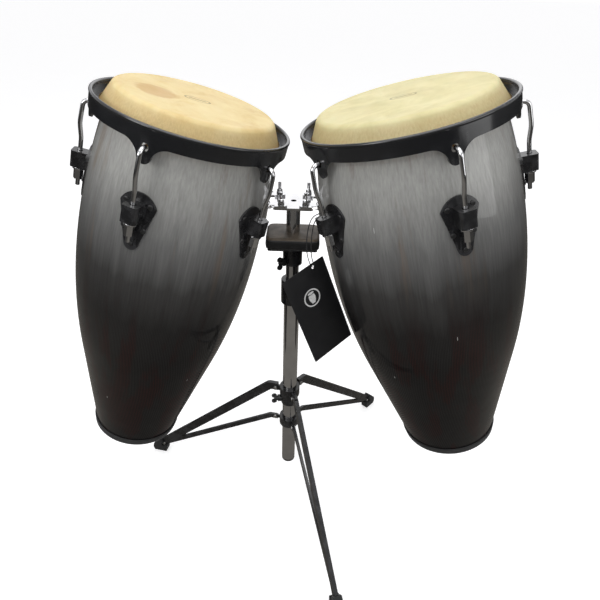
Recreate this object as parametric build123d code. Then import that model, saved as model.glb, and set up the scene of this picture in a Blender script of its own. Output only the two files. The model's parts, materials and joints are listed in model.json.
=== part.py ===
from build123d import *
import os
from math import atan2, cos, degrees, hypot, pi, radians, sin, sqrt, tan

# A pair of conga drums on a folding double stand. Millimetres and degrees.
# The model is drawn with the stand tube on the Z axis and the floor at z = 0,
# and is moved at the end so that its origin is the middle of its footprint.

# Clearances
SEAT = 0.1  # behind a fixed piece that follows a curved one
PIN = 0.08  # around a pin or thread that turns
SLIDE = 0.3  # around a tube or collar that slides

# Drums. Depths are measured down the drum's own axis from the top of the shell.
SHELL_LENGTH = 711.0
SHELL_WALL = 12.0
BELLY_DEPTH = 260.0
DRUM_TILT = 15.75  # tops lean in towards the tube
DRUM_SWING = 5.5  # both drums stand a little in front of the tube
HANG_REACH = 50.0  # tube axis to shell, where the bracket is
HANG_HEIGHT = 735.0
QUINTO = {
    "top": 127.0,
    "belly": 158.0,
    "foot": 84.5,
    "taper": 0.22,
    "hang": 141.5,
    "turn": DRUM_SWING,
}
CONGA = {
    "top": 139.5,
    "belly": 174.0,
    "foot": 93.0,
    "taper": 0.242,
    "hang": 153.0,
    "turn": 180 - DRUM_SWING,
}

# Head, hoop and rim
SKIN = 1.6
SKIN_TUCK = 42.0
HEAD_LEAN = 26.0  # the collar of the head leans out from the crest
HOOP_ROD = 3.5  # radius
RIM_REACH = 32.0  # rim's outside beyond the shell's top radius
RIM_SHEET = 4.5
RIM_TOP = 16.0
RIM_BOTTOM = 42.0
RIM_BEAD = 3.2  # radius of the rolled edge
FLANGE = 3.2
EAR_BASE = 72.0
EAR_TIP = 22.0
EAR_DEPTH = 71.0
EAR_HOLE = 12.0
HOOK_DEPTH = 47.0

# Tuning lugs
LUG_ANGLES = [36, 108, 180, 252, 324]
LUG_TOP = 116.0
LUG_BOTTOM = 208.0
LUG_WIDTH = 58.0
LUG_SHOULDER = 136.0
LUG_END = 12.0  # radius
LUG_SHEET = 3.0
BLOCK_TOP = 130.0
BLOCK_BOTTOM = 157.0
BLOCK_WIDTH = 24.5
BLOCK_CAP = 12.0  # block beyond the rod's axis
BLOCK_BORE = 9.0
HOOK_ROD = 3.5  # radius
HOOK_END = 191.0
WASHER = 2.2
NUT_FLANGE = 10.0
NUT_FLANGE_HEIGHT = 3.0
NUT_BODY = 7.0
NUT_HEIGHT = 20.0
SCREW_SPOTS = [(-19, 133), (19, 133), (-16, 172), (16, 172), (0, 198)]
SCREW_HEAD = 4.2
SCREW_HEAD_HEIGHT = 2.4
SCREW_SHANK = 2.5
SCREW_BITE = 9.0

# Bottom ring
FOOT_RING = 17.0
FOOT_RING_SHEET = 3.0

# Hanging brackets and the top plate
BRACKET_WIDTH = 84.0
BRACKET_HEIGHT = 50.0
BRACKET_SHEET = 4.0
BOLT_HEAD = 6.0
BOLT_SPOTS = [(-34, -17), (34, -17), (-34, 17), (34, 17)]
PLATE_TOP = 744.0
PLATE_SHEET = 4.0
PLATE_LENGTH = 70.0
PLATE_DEPTH = 76.0
PLATE_HOLE = 5.0
STUD_X = 24.0
STUD_Y = 27.0
STUD = 3.0
STUD_HEIGHT = 26.0
TONGUE_WIDTH = 21.0
WING_HUB = 6.0
WING_REACH = 15.0
WING_HEIGHT = 15.0
WING_SHEET = 3.0

# Stand tubes
OUTER_TUBE = 15.9
INNER_TUBE = 12.7
TUBE_WALL = 1.6
TUBE_BOTTOM = 67.0
TUBE_TOP = 560.0
INNER_BOTTOM = 330.0
BUSH_HEIGHT = 40.0
PLUG_CAP = 5.0
PLUG_DEPTH = 14.0
CLAMP_BOTTOM = 530.0
CLAMP_TOP = 582.0
CLAMP_RADIUS = 21.5
CLAMP_BOLT_AT = (90, 546)  # direction around the tube, height

# Rest pad between the drums
PAD_LENGTH = 100.0
PAD_DEPTH = 76.0
PAD_BOTTOM = 661.0
PAD_TOP = 686.0
PAD_ROUND = 4.0
REST_SHEET = 3.0
REST_CLAMP_BOTTOM = 618.0
REST_CLAMP_RADIUS = 18.5
REST_BOLT_AT = (229, 628)

# Wing bolts
BOLT = 4.0
BOSS = 8.0
BOSS_REACH = 8.0

# Tripod
LEG_ANGLES = [-71.3, 48.7, 168.7]
PIVOT_REACH = 33.0
UPPER_PIVOT = 290.0
LOWER_PIVOT = 198.0
COLLAR = 22.5
COLLAR_HEIGHT = 22.0
SLEEVE = 19.0
SLEEVE_BOTTOM = 254.0
COLLAR_BOLT_AT = (190, 266)
LEVEL_RUN = 12.0
FOOT_PIVOT = (340.0, 24.0)
CHANNEL_WALL = 1.2
UPPER_CHANNEL = {"width": 8.6, "above": 13.4, "below": 5.6, "tail": 16.0, "eye": 6.5}
LOWER_CHANNEL = {"width": 5.6, "above": 6.0, "below": 6.2, "tail": 5.5, "eye": 4.8}
CHANNEL_START = 6.0
RIVET = 2.5
RIVET_HEAD = 5.0
RIVET_HEAD_HEIGHT = 2.2
LUG_GAP = 0.3
FOOT_WIDTH = 20.0

# Hang tag: a card on a cord loop round one of the conga's hooks
TAG_WIDTH = 92.0
TAG_HEIGHT = 183.0
TAG_SHEET = 1.2
TAG_HOLE = 3.0
TAG_HOLE_AT = (20.0, 84.0)  # from the card's middle
TAG_MIDDLE = (52.5, -98.0, 572.5)
TAG_ACROSS = (0.745, 0.599, 0.294)
TAG_FACE = (0.566, -0.801, 0.197)
CORD = 0.8  # radius
CORD_ROUTE = [
    (47.2, -115.6, 765.9),
    (37.5, -121.5, 762.5),
    (33.5, -121.5, 743),
    (32.5, -115, 715),
    (34, -99, 682),
    (41.7, -93.3, 658.3),
    (33.8, -82.1, 655.5),
    (27, -84, 678),
    (25, -96, 702),
    (25.5, -111, 729),
    (28, -120, 753),
    (35, -121, 768.5),
    (46.2, -115.5, 769.4),
]



def upper_arc(drum):
    # Radius of the arc from the belly up to the top edge.
    rise = drum["belly"] - drum["top"]
    return (BELLY_DEPTH**2 + rise**2) / (2 * rise)


def lower_arc(drum):
    # Radius of the arc below the belly, and the depth where it runs into a cone.
    lean = atan2(drum["taper"], 1)
    drop = drum["belly"] - drum["foot"]
    length = SHELL_LENGTH - BELLY_DEPTH
    size = (tan(lean) * length - drop) / (tan(lean) * sin(lean) - 1 + cos(lean))
    return size, BELLY_DEPTH + size * sin(lean)


def shell_radius(drum, depth):
    size, cone = lower_arc(drum)
    if depth >= cone:
        return drum["foot"] + drum["taper"] * (SHELL_LENGTH - depth)
    if depth < BELLY_DEPTH:
        size = upper_arc(drum)
    return drum["belly"] - size + sqrt(size**2 - (depth - BELLY_DEPTH) ** 2)


def flank(drum, start, end, offset):
    # The shell's side line from one depth to another, moved out by an offset:
    # an arc above the belly, an arc below it and a straight cone.
    cone = lower_arc(drum)[1]
    marks = [depth for depth in (BELLY_DEPTH, cone) if min(start, end) < depth < max(start, end)]
    marks = sorted([start, end, *marks], reverse=start > end)
    side = []
    for first, last in zip(marks, marks[1:]):
        middle = (first + last) / 2
        points = [(shell_radius(drum, depth) + offset, -depth) for depth in (first, middle, last)]
        straight = middle > cone
        side.append(Line(points[0], points[2]) if straight else ThreePointArc(*points))
    return side


def lathe(*edges):
    return revolve(Plane.XZ * make_face(edges), Axis.Z)


def lathe_points(*points):
    return revolve(Plane.XZ * make_face(Polyline(*points, close=True)), Axis.Z)


def ring(outer, inner, bottom, top):
    return Pos(0, 0, (bottom + top) / 2) * (
        Cylinder(outer, top - bottom) - Cylinder(inner, top - bottom)
    )


def rod(radius, bottom, top):
    return Pos(0, 0, (bottom + top) / 2) * Cylinder(radius, top - bottom)


def outward(angle, reach, height):
    # A place whose own Z axis points straight out from the axis.
    return Pos(0, 0, height) * Rot(0, 0, angle) * Pos(reach, 0, 0) * Rot(0, 90, 0)


def facing(angle, outline, near, far):
    # A prism of an outline in (sideways, height), seen from outside at an angle.
    return Rot(0, 0, angle) * Pos(near, 0, 0) * extrude(Plane.YZ * outline, far - near)


def drum_place(drum):
    # From the drum's own frame, where its bracket faces +X, to the stand's.
    reach = shell_radius(drum, drum["hang"])
    lean = radians(DRUM_TILT)
    x = -HANG_REACH - (reach * cos(lean) - drum["hang"] * sin(lean))
    z = HANG_HEIGHT + reach * sin(lean) + drum["hang"] * cos(lean)
    return Rot(0, 0, drum["turn"]) * Pos(x, 0, z) * Rot(0, DRUM_TILT, 0)


def make_shell(drum):
    nose = SHELL_WALL / 2
    edge = shell_radius(drum, nose)
    outside = flank(drum, nose, SHELL_LENGTH, 0)
    inside = flank(drum, SHELL_LENGTH, nose, -SHELL_WALL)
    crown = ThreePointArc((edge - SHELL_WALL, -nose), (edge - nose, 0), (edge, -nose))
    shell = lathe(crown, *outside, Line(outside[-1] @ 1, inside[0] @ 0), *inside)
    for angle in LUG_ANGLES:
        for place in screw_places(drum, angle):
            shell -= place * rod(SCREW_SHANK, -SCREW_BITE, LUG_SHEET)
    for place in bolt_places(drum):
        shell -= place * rod(STUD, -SHELL_WALL * 2, BRACKET_SHEET)
    return shell


def screw_places(drum, angle):
    # Where the lug screws' heads sit, on spot faces in the plate.
    for side, depth in SCREW_SPOTS:
        reach = shell_radius(drum, depth)
        turn = angle + degrees(side / reach)
        yield outward(turn, reach + SEAT + LUG_SHEET - SCREW_HEAD * 0.15, -depth)


def bolt_places(drum):
    for side, drop in BOLT_SPOTS:
        depth = drum["hang"] + drop
        reach = shell_radius(drum, depth)
        yield outward(degrees(side / reach), reach + SEAT + BRACKET_SHEET - 0.6, -depth)


def skin_start(drum, offset):
    # Where the crest's arc ends and the straight collar begins.
    nose = SHELL_WALL / 2
    round_ = nose + offset
    lean = radians(HEAD_LEAN)
    crest = shell_radius(drum, nose) - nose
    return crest + round_ * cos(lean), round_ * sin(lean) - nose


def skin_reach(drum, depth, offset):
    radius, height = skin_start(drum, offset)
    return radius + (depth + height) * tan(radians(HEAD_LEAN))


def make_skin(drum):
    nose = SHELL_WALL / 2
    crest = shell_radius(drum, nose) - nose
    half = sin(pi / 4)
    low = nose + SEAT
    high = low + SKIN
    foot = SKIN_TUCK - SKIN
    hoop = hoop_reach(drum)
    under = skin_reach(drum, SKIN_TUCK, SEAT)
    inner_start = skin_start(drum, SEAT)
    outer_start = skin_start(drum, SEAT + SKIN)
    inner = ThreePointArc((crest, SEAT), (crest + low * half, low * half - nose), inner_start)
    outer = ThreePointArc(outer_start, (crest + high * half, high * half - nose), (crest, SEAT + SKIN))
    return lathe(
        Line((0, SEAT), (crest, SEAT)),
        inner,
        Line(inner_start, (under, -SKIN_TUCK)),
        Line((under, -SKIN_TUCK), (hoop, -SKIN_TUCK)),
        Line((hoop, -SKIN_TUCK), (hoop, -foot)),
        Line((hoop, -foot), (skin_reach(drum, foot, SEAT + SKIN), -foot)),
        Line((skin_reach(drum, foot, SEAT + SKIN), -foot), outer_start),
        outer,
        Line((crest, SEAT + SKIN), (0, SEAT + SKIN)),
        Line((0, SEAT + SKIN), (0, SEAT)),
    )


def hoop_depth():
    return SKIN_TUCK - SKIN - SEAT - HOOP_ROD


def hoop_reach(drum):
    lean = cos(radians(HEAD_LEAN))
    return skin_reach(drum, hoop_depth(), SEAT + SKIN) + (HOOP_ROD + 2 * SEAT) / lean


def make_hoop(drum):
    return Pos(0, 0, -hoop_depth()) * Torus(hoop_reach(drum), HOOP_ROD)


def ear_outline():
    # Tangent to the band's lower edge on both sides, with a round tip.
    half = EAR_BASE / 2
    tip = EAR_TIP / 2
    centre = tip - EAR_DEPTH
    left = TangentArc((-half, -RIM_BOTTOM), (-tip, centre), tangent=(1, 0))
    nose = ThreePointArc((-tip, centre), (0, -EAR_DEPTH), (tip, centre))
    right = TangentArc((half, -RIM_BOTTOM), (tip, centre), tangent=(-1, 0))
    lid = 1 - RIM_BOTTOM
    top = Polyline((half, -RIM_BOTTOM), (half, lid), (-half, lid), (-half, -RIM_BOTTOM))
    return make_face([left, nose, right, top])


def make_rim(drum):
    outside = drum["top"] + RIM_REACH
    inside = outside - RIM_SHEET
    seat = -(hoop_depth() - HOOP_ROD - SEAT)
    lip = skin_reach(drum, -seat, SEAT + SKIN) + 6 * SEAT
    bead = Pos(0, 0, -RIM_TOP - RIM_BEAD) * Torus(outside - RIM_SHEET / 2, RIM_BEAD)
    rim = ring(outside, inside, -RIM_BOTTOM, -RIM_TOP - RIM_BEAD) + bead
    rim += ring(inside + 1, lip, seat, seat + FLANGE)
    skirt = ring(outside, inside, -EAR_DEPTH - 1, -RIM_BOTTOM + 2)
    for angle in LUG_ANGLES:
        rim += skirt & facing(angle, ear_outline(), inside - 30, outside + 5)
    for angle in LUG_ANGLES:
        rim -= outward(angle, outside, -HOOK_DEPTH) * Cylinder(EAR_HOLE / 2, 20)
    return rim


def rod_reach(drum):
    # The hook rods stand off the shell so that the nut's flange clears the plate.
    depth = BLOCK_BOTTOM + WASHER + NUT_HEIGHT
    return shell_radius(drum, depth) + SEAT + LUG_SHEET + NUT_FLANGE + 5 * SEAT


def make_hook(drum):
    reach = rod_reach(drum)
    start = drum["top"] + RIM_REACH - RIM_SHEET - HOOK_ROD
    bend = RIM_REACH / 3
    path = FilletPolyline(
        (start, 0, -HOOK_DEPTH),
        (reach + 1, 0, -HOOK_DEPTH),
        (reach + 4, 0, -HOOK_DEPTH - 38),
        (reach, 0, -HOOK_DEPTH - 62),
        (reach, 0, -HOOK_END),
        radius=[bend, 5 * bend, 5 * bend],
    )
    section = Plane(origin=path @ 0, z_dir=path % 0) * Circle(HOOK_ROD)
    return sweep(section, path=path)


def plate_outline():
    half = LUG_WIDTH / 2
    crown = ThreePointArc((-half, -LUG_SHOULDER), (0, -LUG_TOP), (half, -LUG_SHOULDER))
    low = LUG_END - LUG_BOTTOM
    nose = ThreePointArc((LUG_END, low), (0, -LUG_BOTTOM), (-LUG_END, low))
    sides = [Line(crown @ 1, nose @ 0), Line(nose @ 1, crown @ 0)]
    return make_face([crown, nose, *sides])


def strip(drum, top, bottom, sheet):
    # A sheet that follows the shell all the way round, between two depths.
    inner = flank(drum, top, bottom, SEAT)
    outer = flank(drum, bottom, top, SEAT + sheet)
    return lathe(*inner, Line(inner[-1] @ 1, outer[0] @ 0), *outer, Line(outer[-1] @ 1, inner[0] @ 0))


def core(drum, top, bottom, offset):
    side = flank(drum, top, bottom, offset)
    floor, axis = Line(side[-1] @ 1, (0, -bottom)), Line((0, -bottom), (0, -top))
    return lathe(Line((0, -top), side[0] @ 0), *side, floor, axis)


def make_lug_plate(drum, angle, sheet, inside):
    reach = rod_reach(drum)
    near = reach - LUG_SHEET - 2 * NUT_FLANGE
    plate = sheet & facing(angle, plate_outline(), near - 30, reach + 5)
    block = Box(reach + BLOCK_CAP - near, BLOCK_WIDTH, BLOCK_BOTTOM - BLOCK_TOP)
    block = fillet(block.edges().filter_by(Axis.Z).group_by(Axis.X)[-1], BLOCK_WIDTH / 6)
    middle = (reach + BLOCK_CAP + near) / 2
    block = Rot(0, 0, angle) * Pos(middle, 0, -(BLOCK_TOP + BLOCK_BOTTOM) / 2) * block
    plate += block - inside
    plate -= Rot(0, 0, angle) * Pos(reach, 0, 0) * rod(BLOCK_BORE / 2, -BLOCK_BOTTOM - 1, -BLOCK_TOP + 1)
    for place in screw_places(drum, angle):
        plate -= place * rod(SCREW_HEAD + SEAT, 0, 2 * SCREW_HEAD)
        plate -= place * rod(SCREW_SHANK, -2 * LUG_SHEET, 1)
    return plate


def make_lug_plates(drum):
    sheet = strip(drum, LUG_TOP - 5, LUG_BOTTOM + 5, LUG_SHEET)
    inside = core(drum, LUG_TOP - 5, LUG_BOTTOM + 5, SEAT + LUG_SHEET / 3)
    return [make_lug_plate(drum, angle, sheet, inside) for angle in LUG_ANGLES]


def make_screw():
    head = Cylinder(SCREW_HEAD, SCREW_HEAD_HEIGHT)
    head = fillet(head.edges().group_by(Axis.Z)[-1], SCREW_HEAD_HEIGHT * 0.6)
    return Pos(0, 0, SCREW_HEAD_HEIGHT / 2) * head + rod(SCREW_SHANK - SEAT, -SCREW_BITE + 1, 1)


def make_washer(drum, angle):
    top = -BLOCK_BOTTOM
    washer = Pos(0, 0, top - WASHER / 2) * Cone(NUT_FLANGE - 0.5, NUT_FLANGE - 2, WASHER)
    washer -= rod(BLOCK_BORE / 2, top - WASHER, top)
    return Rot(0, 0, angle) * Pos(rod_reach(drum), 0, 0) * washer


def make_tension_nut(drum, angle):
    top = -BLOCK_BOTTOM - WASHER
    flange = rod(NUT_FLANGE, top - NUT_FLANGE_HEIGHT, top)
    flange = fillet(flange.edges().group_by(Axis.Z)[0], NUT_FLANGE_HEIGHT * 0.4)
    body = extrude(RegularPolygon(NUT_BODY, 6, major_radius=False), NUT_HEIGHT)
    nut = flange + Pos(0, 0, top - NUT_HEIGHT) * body
    nut -= rod(HOOK_ROD + PIN, top - NUT_HEIGHT - 1, top + 1)
    return Rot(0, 0, angle) * Pos(rod_reach(drum), 0, 0) * nut


def make_bottom_ring(drum):
    top = SHELL_LENGTH - FOOT_RING + FOOT_RING_SHEET
    high = shell_radius(drum, top)
    low = shell_radius(drum, SHELL_LENGTH)
    under = -SHELL_LENGTH - SEAT
    return lathe_points(
        (high + SEAT, -top),
        (high + FOOT_RING_SHEET, -top - 1),
        (low + FOOT_RING_SHEET + 0.5, under - 1),
        (low + FOOT_RING_SHEET - 1, under - FOOT_RING_SHEET),
        (low - SHELL_WALL * 0.7, under - FOOT_RING_SHEET),
        (low - SHELL_WALL * 0.7, under),
        (low + SEAT, under),
    )


def stud_spots():
    return [(-STUD_X, -STUD_Y), (-STUD_X, STUD_Y)]


def make_bracket(drum):
    # A curved plate on the shell with two level tongues that lie on the top plate.
    turn = drum_place(drum)
    top = drum["hang"] - BRACKET_HEIGHT / 2
    bottom = drum["hang"] + BRACKET_HEIGHT / 2
    outline = Pos(0, -drum["hang"]) * RectangleRounded(BRACKET_WIDTH, BRACKET_HEIGHT, 8)
    sheet = strip(drum, top - 5, bottom + 5, BRACKET_SHEET)
    near = shell_radius(drum, drum["hang"]) - 30
    bracket = turn * (sheet & facing(0, outline, near, near + 60))
    inside = turn * core(drum, top - 20, bottom + 20, SEAT + BRACKET_SHEET / 2)
    length = HANG_REACH + 10 - (STUD_X - TONGUE_WIDTH / 2)
    for x, y in stud_spots():
        tongue = Box(length, TONGUE_WIDTH, BRACKET_SHEET)
        tongue = fillet(tongue.edges().filter_by(Axis.Z).group_by(Axis.X)[-1], TONGUE_WIDTH / 3)
        middle = x + TONGUE_WIDTH / 2 - length / 2
        place = Rot(0, 0, drum["turn"]) * Pos(middle, y, PLATE_TOP + BRACKET_SHEET / 2)
        bracket += place * tongue - inside
        bracket -= Rot(0, 0, drum["turn"]) * Pos(x, y, PLATE_TOP) * Cylinder(STUD, 20)
    for place in bolt_places(drum):
        bracket -= turn * place * rod(BOLT_HEAD + SEAT, 0, 12)
        bracket -= turn * place * rod(STUD, -10, 1)
    return bracket


def make_bracket_bolt():
    head = Cylinder(BOLT_HEAD, 3)
    head = fillet(head.edges().group_by(Axis.Z)[-1], 1.8)
    return Pos(0, 0, 1.5) * head + rod(STUD - SEAT, -SHELL_WALL - BRACKET_SHEET - 2, 1)


def wing_pair(reach, height, sheet, hub):
    # Two rounded wings on a hub, standing on z = 0, as on a wing nut or wing bolt.
    wing = Ellipse((reach - hub / 2) / 2, height * 0.42)
    wings = Sketch() + [
        Pos(side * (reach + hub / 2) / 2, height * 0.58) * wing for side in (-1, 1)
    ]
    blade = extrude(Plane.XZ * wings, sheet / 2, both=True)
    neck = Pos(0, 0, height * 0.3) * Cone(hub, hub * 0.75, height * 0.6)
    return neck + blade


def make_wing_nut():
    nut = wing_pair(WING_REACH, WING_HEIGHT, WING_SHEET, WING_HUB)
    return nut - Cylinder(STUD + PIN, 4 * WING_HEIGHT)


def make_wing_bolt(boss_end, tip):
    # The bolt's axis is Z; its tip is at -tip and its wings stand at the boss's end.
    wings = Pos(0, 0, boss_end) * wing_pair(13, 14, 4, 6)
    return wings + rod(BOLT, tip, boss_end + 2)


def clamp_body(radius, bottom, top, bore, bolt_at):
    # A collar with a boss for its wing bolt.
    angle, height = bolt_at
    body = ring(radius, bore, bottom, top)
    body = fillet(body.edges().group_by(Axis.Z)[-1].sort_by(SortBy.LENGTH)[-1], 1.5)
    boss = outward(angle, 0, height) * rod(BOSS, bore + 1, radius + BOSS_REACH)
    body += boss - rod(bore + 0.5, bottom, top)
    return body - outward(angle, 0, height) * rod(BOLT + PIN, 0, radius + BOSS_REACH + 1)


def channel_side(points, above, below, start, tail):
    # The side view of a bent strut: a knee between a level run and a long run.
    first, knee, last = points
    runs = [(knee[0] - first[0], knee[1] - first[1]), (last[0] - knee[0], last[1] - knee[1])]
    ways = [(x / hypot(x, z), z / hypot(x, z)) for x, z in runs]
    ups = [(-z, x) for x, z in ways]

    def spot(point, way, along, up, lift):
        return (point[0] + way[0] * along + up[0] * lift, point[1] + way[1] * along + up[1] * lift)

    top_start = spot(first, ways[0], -start, ups[0], above)
    top_knee_a = spot(knee, ways[0], 0, ups[0], above)
    top_knee_b = spot(knee, ways[1], 0, ups[1], above)
    middle = ((ups[0][0] + ups[1][0]) / 2, (ups[0][1] + ups[1][1]) / 2)
    size = hypot(*middle)
    top_knee = (knee[0] + middle[0] / size * above, knee[1] + middle[1] / size * above)
    top_end = spot(last, ways[1], tail, ups[1], above)
    low_end = spot(last, ways[1], tail, ups[1], -below)
    reach = below / size**2
    low_knee = (knee[0] - middle[0] * reach, knee[1] - middle[1] * reach)
    low_start = spot(first, ways[0], -start, ups[0], -below)
    return make_face(
        [
            Line(top_start, top_knee_a),
            ThreePointArc(top_knee_a, top_knee, top_knee_b),
            Line(top_knee_b, top_end),
            Line(top_end, low_end),
            Line(low_end, low_knee),
            Line(low_knee, low_start),
            Line(low_start, top_start),
        ]
    )


def make_strut(channel, pivot_height):
    # A channel that opens downwards, drawn in the XZ plane with its leg along +X.
    points = [
        (PIVOT_REACH, pivot_height),
        (PIVOT_REACH + LEVEL_RUN, pivot_height),
        FOOT_PIVOT,
    ]
    above, below = channel["above"], channel["below"]
    outside = channel_side(points, above, below, CHANNEL_START, channel["tail"])
    hollow = channel_side(
        points, above - CHANNEL_WALL, below + 1, CHANNEL_START + 1, channel["tail"] + 1
    )
    strut = extrude(Plane.XZ * outside, channel["width"] / 2, both=True)
    strut -= extrude(Plane.XZ * hollow, channel["width"] / 2 - CHANNEL_WALL, both=True)
    for x, z in (points[0], FOOT_PIVOT):
        strut -= Pos(x, 0, z) * Rot(90, 0, 0) * Cylinder(RIVET + PIN, 4 * channel["width"])
    return strut


def make_collar(bottom, top, bore, pivot_height, channel):
    # A ring with an eye for each leg's strut.
    collar = ring(COLLAR, bore, bottom, top)
    thickness = channel["width"] - 2 * CHANNEL_WALL - 2 * LUG_GAP
    for angle in LEG_ANGLES:
        arm = Box(PIVOT_REACH - bore - 2, thickness, 2 * channel["eye"])
        arm = Pos((PIVOT_REACH + bore + 2) / 2, 0, pivot_height) * arm
        eye = Pos(PIVOT_REACH, 0, pivot_height) * Rot(90, 0, 0) * Cylinder(channel["eye"], thickness)
        hole = Pos(PIVOT_REACH, 0, pivot_height) * Rot(90, 0, 0) * Cylinder(RIVET, 2 * thickness)
        collar += Rot(0, 0, angle) * (arm + eye)
        collar -= Rot(0, 0, angle) * hole
    return collar


def make_rivet(x, z, half_width):
    head = Pos(0, 0, half_width + LUG_GAP / 2 + RIVET_HEAD_HEIGHT / 2)
    cap = Cylinder(RIVET_HEAD, RIVET_HEAD_HEIGHT)
    cap = fillet(cap.edges().group_by(Axis.Z)[-1], RIVET_HEAD_HEIGHT * 0.6)
    shank = Cylinder(RIVET, 2 * (half_width + LUG_GAP))
    rivet = shank + head * cap + Rot(180, 0, 0) * head * cap
    return Pos(x, 0, z) * Rot(90, 0, 0) * rivet


def make_foot_rivet():
    # Two short studs, one through each cheek of the upper strut.
    half = UPPER_CHANNEL["width"] / 2
    rivet = make_rivet(FOOT_PIVOT[0], FOOT_PIVOT[1], half - LUG_GAP / 2)
    return rivet - Pos(FOOT_PIVOT[0], 0, FOOT_PIVOT[1]) * Box(20, 2 * (half - CHANNEL_WALL), 20)


def make_foot():
    # A rubber boot round the upper strut's end, cut level at the floor.
    x, z = FOOT_PIVOT
    outline = Polyline(
        (x + 7.8, z + 17.1),
        (x + 27.4, z - 1.9),
        (x + 30, z - 14),
        (x + 27, 0),
        (x - 6, 0),
        (x - 9.9, z - 5.3),
        close=True,
    )
    boot = extrude(Plane.XZ * make_face(outline), FOOT_WIDTH / 2, both=True)
    points = [(PIVOT_REACH, UPPER_PIVOT), (PIVOT_REACH + LEVEL_RUN, UPPER_PIVOT), FOOT_PIVOT]
    side = channel_side(
        points, UPPER_CHANNEL["above"], UPPER_CHANNEL["below"], CHANNEL_START, UPPER_CHANNEL["tail"]
    )
    boot -= extrude(Plane.XZ * side, UPPER_CHANNEL["width"] / 2, both=True)
    below = LOWER_CHANNEL["below"] + 1
    slot = channel_side(points, CHANNEL_WALL, below, CHANNEL_START, UPPER_CHANNEL["tail"] - 1)
    boot -= extrude(Plane.XZ * slot, LOWER_CHANNEL["width"] / 2 + LUG_GAP, both=True)
    room = RIVET_HEAD + 1
    boot -= Pos(x, 0, z) * Rot(90, 0, 0) * Cylinder(room, 2 * FOOT_WIDTH)
    return boot


def make_stand():
    bore = OUTER_TUBE - TUBE_WALL
    pieces = {
        "base_tube": ring(OUTER_TUBE, bore, TUBE_BOTTOM, TUBE_TOP),
        "tube_plug": rod(OUTER_TUBE, TUBE_BOTTOM - PLUG_CAP, TUBE_BOTTOM)
        + rod(bore - SEAT, TUBE_BOTTOM, TUBE_BOTTOM + PLUG_DEPTH),
        "inner_tube": ring(INNER_TUBE, INNER_TUBE - TUBE_WALL, INNER_BOTTOM, PLATE_TOP - PLATE_SHEET),
        "tube_bush": ring(bore - SLIDE, INNER_TUBE + SEAT, INNER_BOTTOM, INNER_BOTTOM + BUSH_HEIGHT),
    }
    clamp = clamp_body(CLAMP_RADIUS, CLAMP_BOTTOM, CLAMP_TOP, INNER_TUBE + SLIDE, CLAMP_BOLT_AT)
    clamp -= rod(OUTER_TUBE + SEAT, CLAMP_BOTTOM - 1, TUBE_TOP)
    pieces["height_clamp"] = clamp
    pieces["height_bolt"] = outward(CLAMP_BOLT_AT[0], 0, CLAMP_BOLT_AT[1]) * make_wing_bolt(
        CLAMP_RADIUS + BOSS_REACH + SLIDE, OUTER_TUBE + SLIDE
    )

    plate = Pos(0, 0, PLATE_TOP - PLATE_SHEET / 2) * Box(PLATE_LENGTH, PLATE_DEPTH, PLATE_SHEET)
    plate = fillet(plate.edges().filter_by(Axis.Z), 5)
    plate -= Pos(0, 0, PLATE_TOP) * Cylinder(PLATE_HOLE, 20)
    studs = []
    for drum in (QUINTO, CONGA):
        for x, y in stud_spots():
            spot = Rot(0, 0, drum["turn"]) * Pos(x, y, 0)
            studs.append(spot * rod(STUD - SEAT, PLATE_TOP - PLATE_SHEET, PLATE_TOP + STUD_HEIGHT))
            plate -= spot * rod(STUD, PLATE_TOP - 20, PLATE_TOP + 20)
    pieces["top_plate"] = plate
    pieces["clamp_studs"] = studs
    for index, stud_spot in enumerate(wing_nut_spots(), start=1):
        pieces[f"wing_nut_{index}"] = stud_spot * make_wing_nut()

    pad = Pos(0, 0, (PAD_TOP + PAD_BOTTOM) / 2) * Box(PAD_LENGTH, PAD_DEPTH, PAD_TOP - PAD_BOTTOM)
    pad = fillet(pad.edges().filter_by(Axis.Z), PAD_ROUND)
    pieces["rest_cushion"] = pad - rod(INNER_TUBE + 3 * SLIDE, PAD_BOTTOM, PAD_TOP)
    tray = Box(PAD_LENGTH - 2 * PAD_ROUND, PAD_DEPTH - 2 * PAD_ROUND, REST_SHEET)
    tray = Pos(0, 0, PAD_BOTTOM - REST_SHEET / 2) * fillet(tray.edges().filter_by(Axis.Z), PAD_ROUND)
    pieces["rest_plate"] = tray - rod(INNER_TUBE + SLIDE, PAD_BOTTOM - 20, PAD_BOTTOM + 1)
    pieces["rest_clamp"] = clamp_body(
        REST_CLAMP_RADIUS, REST_CLAMP_BOTTOM, PAD_BOTTOM - REST_SHEET, INNER_TUBE + SLIDE, REST_BOLT_AT
    )
    pieces["rest_wing_bolt"] = outward(REST_BOLT_AT[0], 0, REST_BOLT_AT[1]) * make_wing_bolt(
        REST_CLAMP_RADIUS + BOSS_REACH + SLIDE, INNER_TUBE + SLIDE
    )
    return pieces


def wing_nut_spots():
    height = PLATE_TOP + BRACKET_SHEET
    for drum in (QUINTO, CONGA):
        for x, y in stud_spots():
            yield Rot(0, 0, drum["turn"]) * Pos(x, y, height) * Rot(0, 0, 90)


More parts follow.
